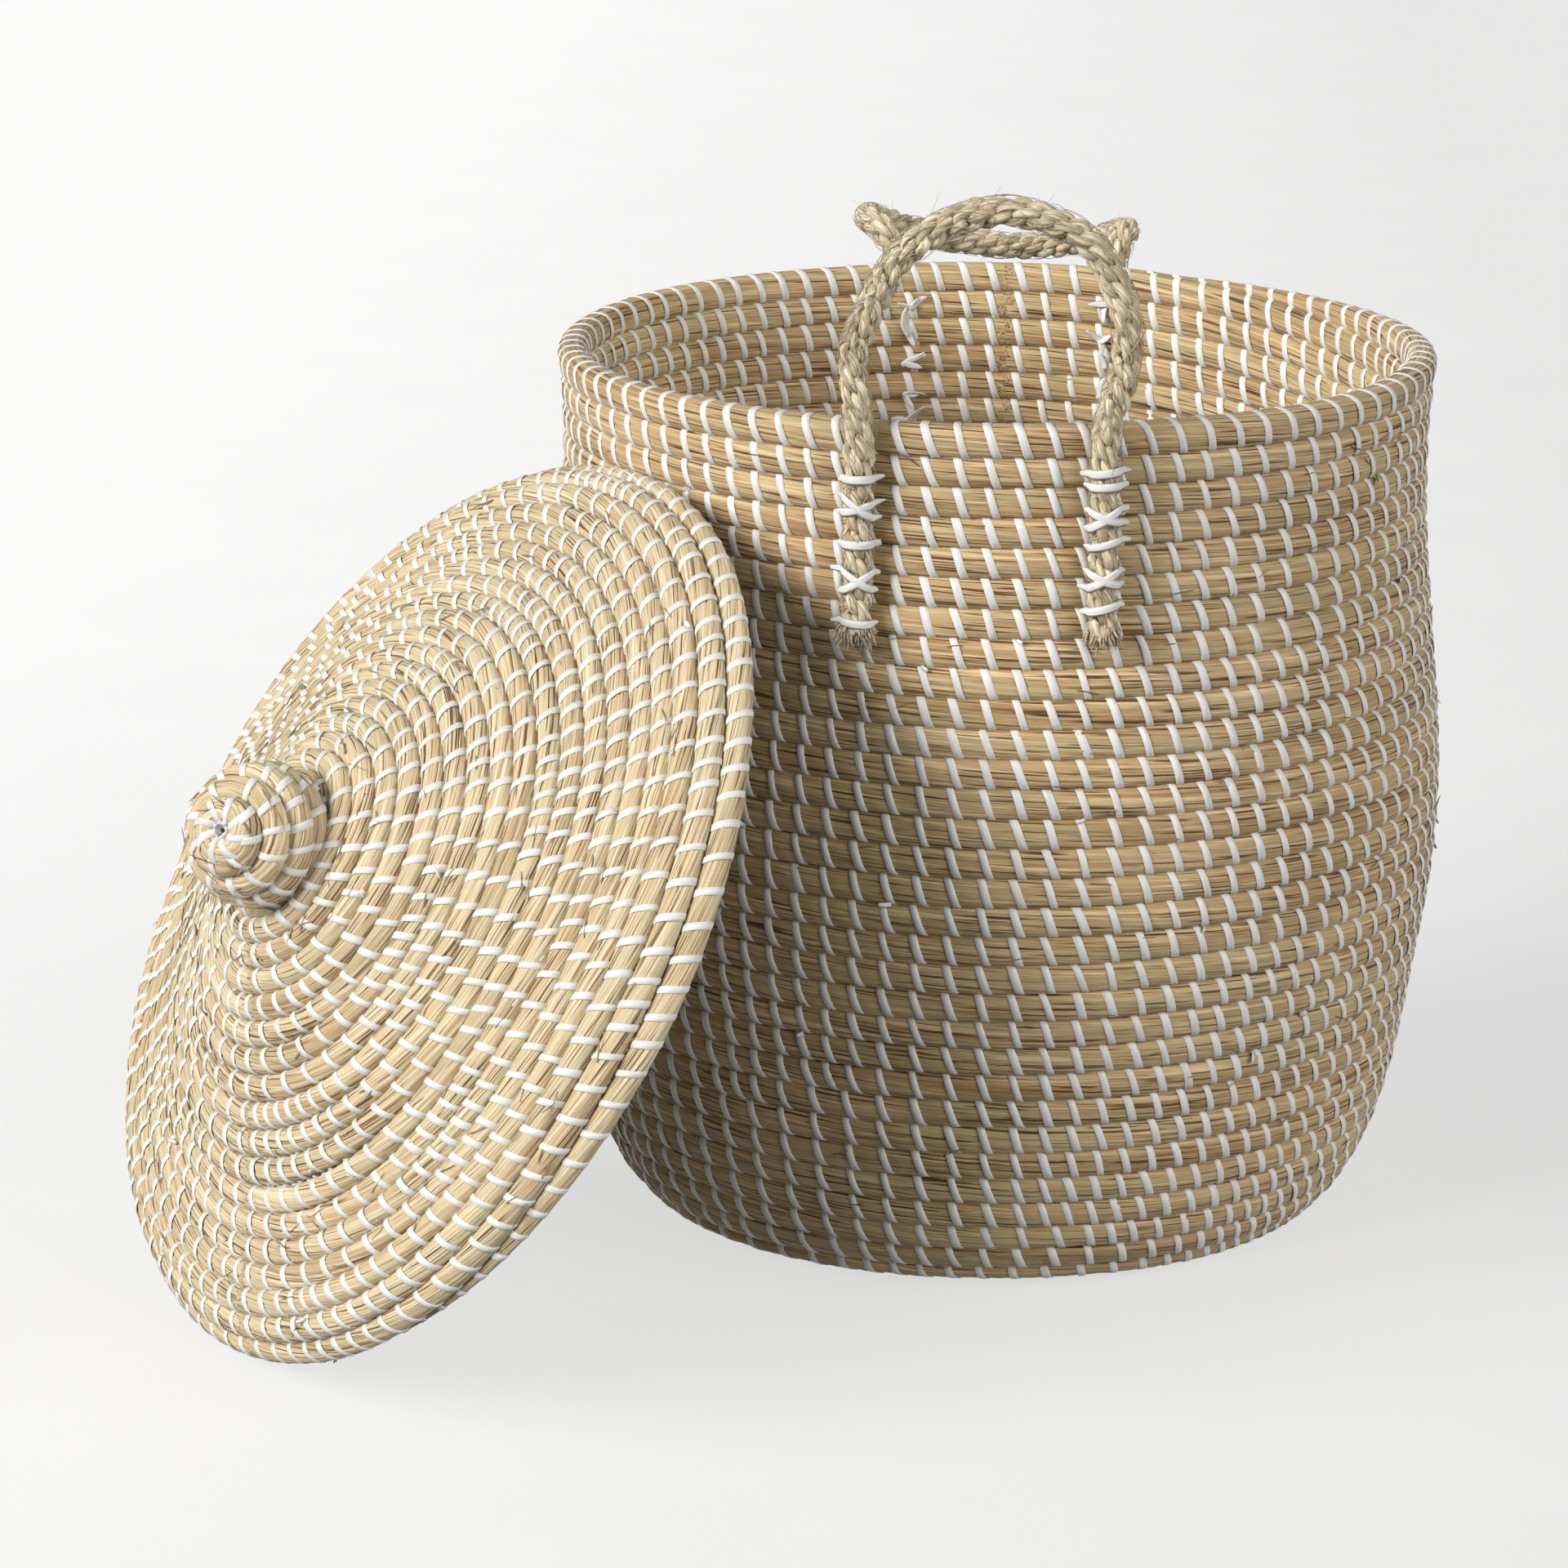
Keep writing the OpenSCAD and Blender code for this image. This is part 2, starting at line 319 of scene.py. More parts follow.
def rope_material():
    """Jute yarn: pale fibres along each yarn, darker where they part."""
    material, tree, shader, lay = new_material("jute", 0.7, 0.25, 0.3)
    fibres = stretched(tree, lay, 60, 11, 29, 3.0, 0.6)
    tone = stretched(tree, lay, 25, 1.5, 41, 2.0, 0.5)
    tones = [(0.33, (0.19, 0.13, 0.07)), (0.44, (0.50, 0.405, 0.26)), (0.62, (0.80, 0.71, 0.53))]
    colour = ramp(tree, fibres, tones)
    shade = ramp(tree, tone, [(0.3, (0.78, 0.72, 0.64)), (0.55, (1, 1, 1))])
    colour = mix(tree, "MULTIPLY", 1.0, colour, shade)
    tree.links.new(colour, shader.inputs["Base Color"])
    bump(tree, fibres, 0.0006, 0.8, shader)
    return material


def floor_material():
    """Pale studio paper with a faint mottle, partly lit from itself so that shadows on it stay pale."""
    material = bpy.data.materials.new("studio_paper")
    material.use_nodes = True
    tree = material.node_tree
    shader = tree.nodes["Principled BSDF"]
    shader.inputs["Roughness"].default_value = 0.85
    shader.inputs["Specular IOR Level"].default_value = 0.1
    place = tree.nodes.new("ShaderNodeTexCoord")
    noise = tree.nodes.new("ShaderNodeTexNoise")
    noise.inputs["Scale"].default_value = 6.0
    tree.links.new(place.outputs["Object"], noise.inputs["Vector"])
    mottle = ramp(tree, noise.outputs["Fac"], [(0.3, (0.985, 0.985, 0.985)), (0.7, (1, 1, 1))])
    # Painted light: the paper's colour and its own glow are a little brighter on the left, where the main light
    # comes from, over 1.2 m of its width.
    across = tree.nodes.new("ShaderNodeMapping")
    across.inputs["Location"].default_value = (0.625, 0, 0)
    across.inputs["Scale"].default_value = (1 / 1.2, 1, 1)
    tree.links.new(place.outputs["Object"], across.inputs["Vector"])
    falloff = tree.nodes.new("ShaderNodeTexGradient")
    falloff.gradient_type = "LINEAR"
    tree.links.new(across.outputs["Vector"], falloff.inputs["Vector"])
    painted_light = ramp(tree, falloff.outputs["Fac"], [(0.0, (1, 1, 1)), (1.0, (0.84, 0.84, 0.84))])
    colour = mix(tree, "MULTIPLY", 1.0, mottle, painted_light)
    shade = mix(tree, "MULTIPLY", 1.0, colour, (0.24, 0.24, 0.24))
    tree.links.new(shade, shader.inputs["Base Color"])
    tree.links.new(colour, shader.inputs["Emission Color"])
    shader.inputs["Emission Strength"].default_value = 0.725
    return material


basket_grass = seagrass_material(
    "seagrass_basket", dark=(0.14, 0.082, 0.035), mid=(0.47, 0.325, 0.16), light=(0.72, 0.54, 0.31),
    green=(0.48, 0.41, 0.22), rust=(0.36, 0.19, 0.075),
)
lid_grass = seagrass_material(
    "seagrass_lid", dark=(0.20, 0.13, 0.065), mid=(0.60, 0.47, 0.28), light=(0.84, 0.70, 0.49),
    green=(0.60, 0.55, 0.36), rust=(0.50, 0.32, 0.155),
)
white_strip = strip_material()
jute = rope_material()

# ---- coiled bundles ----

section_sides = 48
strands = 13
climb_from = 100 / 360
climb_to = 168 / 360


def rounded_section(sides, power):
    """Evenly spaced points round a bundle, from its bottom over the outside, the top and the inside.
    Each has its place (out, up), its outward direction, and how far round it is."""
    dense = np.linspace(0, FULL, 2001)[:-1] - math.pi / 2
    shape = 2 / power
    x = np.sign(np.cos(dense)) * np.abs(np.cos(dense)) ** shape
    y = np.sign(np.sin(dense)) * np.abs(np.sin(dense)) ** shape
    steps = np.hypot(np.diff(x, append=x[0]), np.diff(y, append=y[0]))
    length = np.concatenate([[0], np.cumsum(steps)])
    wanted = np.linspace(0, length[-1], sides + 1)
    share = np.interp(wanted, length, np.arange(len(length)))
    x = np.interp(share, np.arange(len(length)), np.append(x, x[0]))
    y = np.interp(share, np.arange(len(length)), np.append(y, y[0]))
    slope = power - 1
    normal = unit(np.stack([np.sign(x) * np.abs(x) ** slope, np.sign(y) * np.abs(y) ** slope], -1))
    return np.stack([x, y], -1), normal, wanted / length[-1]


def lean(around, slant):
    """How far along the bundle a stitch lies, as it goes round from the bottom over the outside
    and back inside."""
    outside = np.clip((around - 0.07) / 0.36, 0, 1)
    inside = np.clip((around - 0.57) / 0.36, 0, 1)
    return slant * (0.5 - outside - 0.9 * inside)


class Coil:
    """A bundle laid row on row about an axis. A turn is one lap. On long laps the row steps up
    within one sector, and on short ones over most of the lap."""

    def __init__(
        self, rows, first_row, direction, start_angle, half_pitch, half_depth, rotation, origin, seed
    ):
        self.rows = np.array(rows, float)
        self.numbers = first_row + np.arange(len(rows))
        self.last_row = self.numbers[-1] - 1
        self.direction = direction
        self.start_angle = math.radians(start_angle)
        self.half_pitch = half_pitch
        self.half_depth = half_depth
        self.rotation = rotation
        self.origin = np.array(origin, float)
        chance = np.random.default_rng(seed)
        self.waves = chance.uniform(0, FULL, (2, 6))
        self.drift = chance.uniform(-0.5, 0.5, (2, 6))
        self.wobble = 0.8
        self.twist = 1.0
        self.power = 2.8
        self.even = False
        self.seed = seed

    def profile(self, row):
        return np.stack([np.interp(row, self.numbers, self.rows[:, k]) for k in (0, 1)], -1)

    def row_at(self, turn):
        if self.even:
            return np.maximum(turn - 1, 0)
        lap = np.floor(turn)
        # Short laps climb all the way round, long ones within one sector.
        sharp = np.clip((self.profile(lap)[..., 0] - 60) / 100, 0, 1)
        begins = 0.03 + (climb_from - 0.03) * sharp
        ends = 0.97 + (climb_to - 0.97) * sharp
        climbed = smoothstep((turn - lap - begins) / (ends - begins))
        ending = turn > self.last_row + climb_from
        tail = lap - 1 + climbed + 0.5 + self.fullness(turn) / 2
        return np.where(ending, tail, lap + climbed)

    def fullness(self, turn):
        """1 along the bundle, less at its start and where its end tapers onto the row below."""
        if self.even:
            return np.ones_like(turn)
        end = (turn - self.last_row - climb_from) / (climb_to - climb_from)
        start = (turn - self.numbers[0]) / 0.35
        return np.clip(1 - smoothstep(end), 0.1, 1) * np.clip(0.4 + 0.6 * start, 0.4, 1)

    def lap_length(self, turn):
        return FULL * np.maximum(self.profile(self.row_at(turn))[..., 0], 4.0)

    def frames(self, turn):
        """Centre, along, up (towards the next row) and out at each turn number."""
        row = self.row_at(turn)
        here = self.profile(row)
        rise = unit(self.profile(row + 0.5) - self.profile(row - 0.5))
        angle = self.start_angle + self.direction * FULL * turn
        zero = np.zeros_like(angle)
        radial = np.stack([np.cos(angle), np.sin(angle), zero], -1)
        around = self.direction * np.stack([-np.sin(angle), np.cos(angle), zero], -1)
        axis = np.array([0.0, 0.0, 1.0])
        up = radial * rise[..., :1] + axis * rise[..., 1:]
        out = self.direction * (radial * rise[..., 1:] - axis * rise[..., :1])
        centre = radial * here[..., :1] + axis * here[..., 1:]
        for shift, wave, drift in ((out, self.waves[0], self.drift[0]), (up, self.waves[1], self.drift[1])):
            size = sum(np.sin((k + 2) * angle + wave[k] + drift[k] * row) / (k + 2) for k in range(6))
            centre = centre + shift * (self.wobble * size)[..., None]
        turned = [v @ self.rotation.T for v in (centre, around, up, out)]
        return turned[0] + self.origin, turned[1], turned[2], turned[3]


def settle(lap, rounds):
    """Moves each stitch of a lap a little towards the middle of its two neighbours."""
    for _ in range(rounds):
        gaps = np.diff(lap, append=lap[0] + 1)
        lap = lap + 0.22 * (gaps - np.roll(gaps, 1))
    return lap


def place_stitches(coil, first_turn, last_turn, spacing, fewest):
    """Turn numbers of the stitches. Each lap's sit over the last lap's, and some are added or left out
    as the laps change length."""
    chance = np.random.default_rng(coil.seed + 1)
    count = max(fewest, round(float(coil.lap_length(np.float64(first_turn))) / spacing))
    lap = first_turn + np.arange(count) / count
    placed = []
    while lap[0] < last_turn:
        placed.append(lap)
        lap = lap + 1
        length = coil.lap_length(lap)
        wanted = max(fewest, round(float(length.mean()) / spacing))
        lap = lap + chance.normal(0, 0.4, len(lap)) / length
        lap = settle(lap, 2)
        while len(lap) < wanted:
            gaps = np.diff(lap, append=lap[0] + 1)
            widest = int(np.argmax(gaps * chance.uniform(0.9, 1.1, len(gaps))))
            lap = np.sort(np.append(lap, lap[widest] + gaps[widest] / 2))
        while len(lap) > wanted:
            gaps = np.diff(lap, append=lap[0] + 1)
            closest = int(np.argmin((gaps + np.roll(gaps, 1)) * chance.uniform(0.9, 1.1, len(gaps))))
            lap = np.delete(lap, closest)
        lap = settle(lap, 2)
    turns = np.sort(np.concatenate(placed))
    return turns[turns < last_turn]


def bundle_part(coil, stitches, slant, pinch, relief):
    """The bundle between the first and last of these stitches, drawn in a little under each stitch."""
    chance = np.random.default_rng(coil.seed + 2 + int(stitches[0] * 10) % 1000)
    place, normal, around = (v[:-1] for v in rounded_section(section_sides, coil.power))
    shares = np.array([0.0, 0.17, 0.5, 0.83])
    squeeze = np.array([1.0, 0.35, 0.0, 0.35])
    gaps = np.diff(stitches)
    turns = np.append((stitches[:-1, None] + gaps[:, None] * shares).ravel(), stitches[-1])
    squeezed = np.append(np.tile(squeeze, len(gaps)), 1.0)
    # Each point's turn follows the slant of the stitches, so that the bundle is pinched right under them.
    shift = lean(around, slant)[None, :] * np.minimum(1, coil.fullness(turns))[:, None]
    turn = turns[:, None] + shift / coil.lap_length(turns)[:, None]
    centre, _, up, out = coil.frames(turn)
    metres = np.concatenate([[0], np.cumsum(np.diff(turns) * coil.lap_length(turns[:-1]))]) * MM
    metres = (metres + stitches[0] * 0.7)[:, None] + shift * MM
    # Grass strands lie side by side round the bundle, with grooves between them, and wander as they go.
    wander = np.sin(metres * 31 + 9 * around) + np.sin(metres * 73 - 14 * around + 2)
    strand = (around + coil.twist * metres) * strands + 0.3 * wander
    rounded = 1 - np.abs(2 * (strand % 1) - 1) ** 2.5
    which = np.floor(strand)
    higher = np.sin(which * 2.4 + 17 * metres) * np.sin(which * 4.1 - 29 * metres + 1)
    swell = chance.normal(0, 0.15, len(turns))[:, None]
    depth = relief * (1.6 * rounded - 1.1 + higher) + swell - pinch * squeezed[:, None]
    full = coil.fullness(turn)
    sideways = (coil.half_depth * place[:, 0] + depth * normal[:, 0]) * full
    upward = (coil.half_pitch * place[:, 1] + 0.4 * depth * normal[:, 1]) * full
    points = centre + out * sideways[..., None] + up * upward[..., None]
    lay = np.stack([metres, around + coil.twist * metres, np.floor(turn + 0.5) * 0.37], -1)
    return points, tube_faces(1, len(turns), section_sides), lay


def stitch_part(coil, stitches, slant, width, seed):
    """White strips over the bundle: each rises from the row below, crosses the outside,
    and goes down the inside."""
    chance = np.random.default_rng(seed)
    rings = 19
    place, normal, around = rounded_section(rings - 3, coil.power)
    # The two ends dive into the row below.
    place = np.concatenate([place[:1] - [[0.25, 0.25]], place, place[-1:] - [[-0.25, 0.25]]])
    normal = np.concatenate([normal[:1], normal, normal[-1:]])
    around = np.concatenate([[0.0], around, [1.0]])
    count = len(stitches)
    slants = slant + chance.normal(0, 0.5, count)
    widths = width * chance.uniform(0.86, 1.1, count)
    lift = chance.uniform(-0.08, 0.18, count)
    lap = coil.lap_length(stitches)
    full = coil.fullness(stitches)
    turn = stitches[:, None] + lean(around[None, :], slants[:, None]) * full[:, None] / lap[:, None]
    centre, _, up, out = coil.frames(turn)
    thick = coil.fullness(turn)[..., None]
    base = centre + out * (coil.half_depth * place[:, 0])[:, None] * thick
    base = base + up * (coil.half_pitch * place[:, 1])[:, None] * thick
    face = unit(out * normal[:, 0][:, None] + up * normal[:, 1][:, None])
    heading = unit(np.gradient(base, axis=1))
    across = unit(np.cross(heading, face))
    taper = np.concatenate([[0.55], np.ones(rings - 3), [0.8, 0.55]])
    half = (widths / 2)[:, None, None] * taper[None, :, None]
    rise = lift[:, None, None]
    # Edges lie on the bundle, the middle of the strip stands a little higher.
    corners = [
        base - across * half + face * (rise - 0.1),
        base - across * half * 0.9 + face * (rise + 0.34),
        base + face * (rise + 0.46),
        base + across * half * 0.9 + face * (rise + 0.34),
        base + across * half + face * (rise - 0.1),
        base + face * (rise - 0.6),
    ]
    points = np.stack(corners, 2)
    sides = len(corners)
    far = np.broadcast_to((np.arange(rings) * 2.6 * MM)[None, :, None], (count, rings, sides))
    side = np.broadcast_to(np.array([0.0, 0.1, 0.5, 0.9, 1.0, 0.5])[None, None, :], (count, rings, sides))
    mark = np.broadcast_to(chance.uniform(0, 1, count)[:, None, None], (count, rings, sides))
    return points, tube_faces(count, rings, sides), np.stack([far, side, mark], -1)


def strip_ends(coil, first, last, count, seed):
    """Short cut ends of white strip left poking out between rows."""
    chance = np.random.default_rng(seed)
    turn = chance.uniform(first, last, count)
    centre, along, up, out = coil.frames(turn)
    parts = []
    for k in range(count):
        side = chance.choice([-1, 1])
        start = centre[k] + out[k] * (coil.half_depth - 1.2) + up[k] * side * (coil.half_pitch - 0.6)
        way = unit(along[k] * chance.normal(0, 0.8) - up[k] * side * chance.uniform(0.1, 0.6) + out[k] * 0.55)
        share = np.linspace(0, 1, 5)[:, None]
        path = start + chance.uniform(3.5, 7) * (way * share + out[k] * 0.3 * share * (1 - share))
        face = np.broadcast_to(out[k] + along[k] * chance.normal(0, 0.6), path.shape)
        widths = np.array([1, 1, 0.95, 0.9, 0.7]) * chance.uniform(1.6, 3.4)
        parts.append(ribbon(path, face, widths, chance.uniform(0, 1)))
    return parts


def loose_grass(coil, first, last, count, seed):
    """Broken blades of grass lifting off the bundle."""
    chance = np.random.default_rng(seed)
    turn = chance.uniform(first, last, count)
    centre, along, up, out = coil.frames(turn)
    full = coil.fullness(turn)
    parts = []
    for k in range(count):
        height = chance.uniform(-0.75, 0.75) * coil.half_pitch
        start = centre[k] + (out[k] * (coil.half_depth - 0.3) + up[k] * height) * full[k]
        way = unit(along[k] * chance.choice([-1, 1]) + up[k] * chance.normal(0, 0.3))
        share = np.linspace(0, 1, 7)[:, None]
        reach = chance.uniform(6, 14)
        path = start + reach * (way * share + out[k] * chance.uniform(0.02, 0.16) * share**1.4)
        path = path + up[k] * reach * chance.normal(0, 0.1) * share**2
        size = chance.uniform(0.2, 0.5) * np.array([0.8, 1, 1, 0.95, 0.85, 0.7, 0.3])
        parts.append(thin_tube(path, size, 5, chance.uniform(0, 1)))
    return parts


def coil_end(coil, count, reach, seed):
    """Grass sticking out where the last lap of a coil runs out."""
    chance = np.random.default_rng(seed)
    turn = coil.last_row + climb_to - chance.uniform(0.004, 0.016, count)
    centre, along, up, out = coil.frames(turn)
    share = np.linspace(0, 1, 6)[:, None]
    parts = []
    for k in range(count):
        way = along[k] + up[k] * chance.uniform(0.1, 0.6) + out[k] * chance.normal(0, 0.12)
        path = centre[k] + out[k] * chance.normal(0, 0.8) + reach * chance.uniform(0.6, 1) * way * share
        size = chance.uniform(0.4, 0.7) * np.array([1, 1, 1, 0.9, 0.8, 0.5])
        parts.append(thin_tube(path, size, 5, chance.uniform(0, 1)))
    return parts


def coil_band(name, coil, stitches, first, last, look, body, slant, width, pinch, relief, stands_for):
    """One band of a coil and the strips on it, in stretches of a few laps."""
    stretches = math.ceil((last - first) / 4.6)
    cuts = np.linspace(first, last, stretches + 1)
    for number, (begin, end) in enumerate(zip(cuts, cuts[1:]), 1):
        inside = stitches[(stitches >= begin) & (stitches < end)]
        beyond = stitches[stitches >= end][:1]
        run = np.concatenate([inside, beyond])
        part = bundle_part(coil, run, slant, pinch, relief)
        bundle = add_piece(f"{name}_{number}", [part], look, body)
        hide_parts(stands_for)
        seed = coil.seed + 100 + int(abs(begin) * 10)
        strips = stitch_part(coil, inside, slant, width, seed)
        add_piece(f"{name}_stitches_{number}", [strips], white_strip, body)


# ---- basket ----

wall_lean = [
    (0, foot_lean), (1, foot_lean * 2 / 3), (3, foot_lean * 3 / 8), (6, lower_lean), (10, lower_lean),
    (14, 1.5), (18, -upper_lean), (22, -upper_lean), (26, -1), (wall_rows - 1, rim_flare),
]


def wall_rows_from_foot():
    """Centre of the bundle in each row, as (radius, height)."""
    centres = [(foot_radius - coil_r, coil_r)]
    for row in range(wall_rows):
        tip = math.radians(np.interp(row, *zip(*wall_lean)))
        radius, height = centres[-1]
        centres.append((radius + coil_pitch * math.sin(tip), height + coil_pitch * math.cos(tip)))
    return centres


wall = wall_rows_from_foot()
rim_top = wall[wall_rows - 1][1] + coil_r
rim_outer = wall[wall_rows - 1][0] + coil_r
base_rows = int((foot_radius - coil_r) / coil_pitch)
base = [(foot_radius - coil_r - turn * coil_pitch, coil_r) for turn in range(base_rows, 0, -1)]
basket_coil = Coil(
    base + wall, -base_rows, 1, -90, coil_pitch / 2 + 0.75, coil_r - 0.15, np.eye(3), (0, 0, 0), 11
)
basket_stitches = place_stitches(basket_coil, -base_rows + 0.05, wall_rows - 1 + climb_to, 15.1, 7)
basket_bands = [
    ("base_coil", "base_spiral", -base_rows, -0.5),
    ("foot_coil", "foot_coils", -0.5, 3.5),
    ("lower_wall_coil", "lower_wall", 3.5, 11.5),
    ("belly_coil", "belly_wall", 11.5, 20.5),
    ("upper_wall_coil", "upper_wall", 20.5, 28.5),
    ("rim_coil", "rim_coils", 28.5, wall_rows),
]
for piece_name, node_name, from_turn, to_turn in basket_bands:
    coil_band(
        piece_name, basket_coil, basket_stitches, from_turn, to_turn, basket_grass,
        "basket", slant=6.0, width=4.2, pinch=0.5, relief=0.24, stands_for=node_name,
    )

# ---- lid ----

lid_slope = [(0, edge_slope), (2.5, edge_slope / 5.5), (6, cone_slope - 1.5), (lid_rows - 1, cone_slope + 1)]


def lid_rows_from_edge():
    centres = [(lid_radius - lid_coil_r, 0.0)]
    for row in range(1, lid_rows):
        tip = math.radians(np.interp(row - 0.5, *zip(*lid_slope)))
        radius, height = centres[-1]
        centres.append((radius - lid_pitch * math.cos(tip), height + lid_pitch * math.sin(tip)))
    return centres


lid_rotation = turn_about("Z", lid_facing) @ turn_about("Y", lid_tilt)
lid_height = (lid_radius - lid_coil_r) * math.sin(math.radians(lid_tilt)) + lid_coil_r
lid_origin = (
    lid_reach * math.cos(math.radians(lid_bearing)),
    lid_reach * math.sin(math.radians(lid_bearing)),
    lid_height,
)
lid = lid_rows_from_edge()
crown_height = lid[-1][1]
neck = [(neck_radius - lid_pitch + 1.5, crown_height + 4.5), (neck_radius + 1.3, crown_height + 2.8)]
beyond_edge = (lid[0][0] + 3.0, lid[0][1] - lid_pitch * 0.97)
lid_coil = Coil(
    neck + lid[::-1] + [beyond_edge], -2, -1, 192, lid_pitch / 2 + 0.2, lid_coil_r - 0.1,
    lid_rotation, lid_origin, 23,
)
lid_coil.twist = 3.5
lid_coil.power = 2.3
lid_stitches = place_stitches(lid_coil, -1.9, lid_rows - 1 + climb_to, 14.2, 8)
lid_bands = [
    ("knob_neck_coil", "knob_neck", -2, 0),
    ("lid_crown_coil", "lid_crown", 0, 2.5),
    ("lid_inner_coil", "lid_inner_band", 2.5, 7.5),
    ("lid_outer_coil", "lid_outer_band", 7.5, 13.5),
    ("lid_edge_coil", "lid_skirt", 13.5, lid_rows),
]
for piece_name, node_name, from_turn, to_turn in lid_bands:
    coil_band(
        piece_name, lid_coil, lid_stitches, from_turn, to_turn, lid_grass,
        "lid", slant=5.6, width=3.8, pinch=0.6, relief=0.34, stands_for=node_name,
    )

# ---- knob ----

knob_rotation = lid_rotation @ turn_about("Z", knob_bearing - 90) @ turn_about("X", -knob_droop)
knob_origin = np.array(lid_origin) + lid_rotation @ np.array([0, 0, crown_height - 1])
knob_angles = [19 + 24.6 * row for row in range(7)]
knob_rows = [
    (knob_centre_r * math.sin(math.radians(a)), knob_arm + knob_centre_r * math.cos(math.radians(a)))
    for a in knob_angles
]
knob_coil = Coil(knob_rows, 0, -1, 200, knob_coil_r - 0.1, knob_coil_r, knob_rotation, knob_origin, 37)
knob_coil.wobble = 0.4
knob_coil.twist = 5
knob_coil.power = 2.4
knob_coil.even = True
knob_stitches = place_stitches(knob_coil, 0.0, 6.4, 11.5, 8)
coil_band(
    "knob_ball_coil", knob_coil, knob_stitches, 0, 7, lid_grass,
    "lid", slant=4.2, width=3.9, pinch=0.6, relief=0.35, stands_for="knob_ball",
)

# ---- handles ----

# Centre lines of the two loops, as (across, outward, up) from the bend line's middle.
front_route = [
    (-62, 0, 20), (-57, 1, 42), (-40, 2, 73), (-12, 3, 92),
    (20, 3, 95), (50, 2, 80), (66, 1, 50), (67, 0, 25),
]
back_route = [
    (-64, 6, 6), (-66, 16, 7), (-63, 34, 4), (-54, 56, -3), (-32, 72, -10), (0, 78, -13),
    (34, 74, -9), (60, 58, 0), (76, 38, 9), (79, 18, 12), (71, 5, 8),
]
bend_height = rim_top + bend_rise
leg_top = bend_height - 1.3 * rope_r
leg_reach = math.sqrt((rim_outer + wall_gap + rope_r) ** 2 - (leg_span / 2) ** 2)
strand_r = 3.8
yarn_offset = 1.75
yarn_r = 2.35
rope_lay = 30.0
strand_lay = 20.0
standing_hairs = 420
lying_fibres = 520
frayed_fibres = 380


def wall_crest(height):
    """Outer radius of the wall over the crests of its rows."""
    rows = np.array(wall[:wall_rows])
    return np.interp(height, rows[:, 1], rows[:, 0] + coil_r)


def leg_y(height):
    return -math.sqrt((wall_crest(height) + wall_gap + rope_r) ** 2 - (leg_span / 2) ** 2)


def smooth_path(points, step):
    """Evenly spaced points on a smooth curve through these points."""
    points = np.array(points, float)
    padded = np.concatenate([[2 * points[0] - points[1]], points, [2 * points[-1] - points[-2]]])
    share = np.linspace(0, 1, 24, endpoint=False)[:, None]
    runs = []
    for a, b, c, d in zip(padded, padded[1:], padded[2:], padded[3:]):
        bend = share * (2 * a - 5 * b + 4 * c - d + share * (3 * (b - c) + d - a))
        runs.append(b + share / 2 * (c - a + bend))
    dense = np.concatenate([*runs, points[-1:]])
    length = np.concatenate([[0], np.cumsum(np.linalg.norm(np.diff(dense, axis=0), axis=1))])
    wanted = np.linspace(0, length[-1], int(length[-1] / step) + 1)
    return np.stack([np.interp(wanted, length, dense[:, k]) for k in range(3)], -1), wanted


def carried_frame(path, side):
    """Two directions across a path, carried along it without twisting."""
    heading = unit(np.gradient(path, axis=0))
    first = np.zeros_like(path)
    first[0] = unit(np.cross(heading[0], side))
    for k in range(1, len(path)):
        carried = first[k - 1] - heading[k] * (first[k - 1] @ heading[k])
        first[k] = carried / np.linalg.norm(carried)
    return heading, first, np.cross(heading, first)


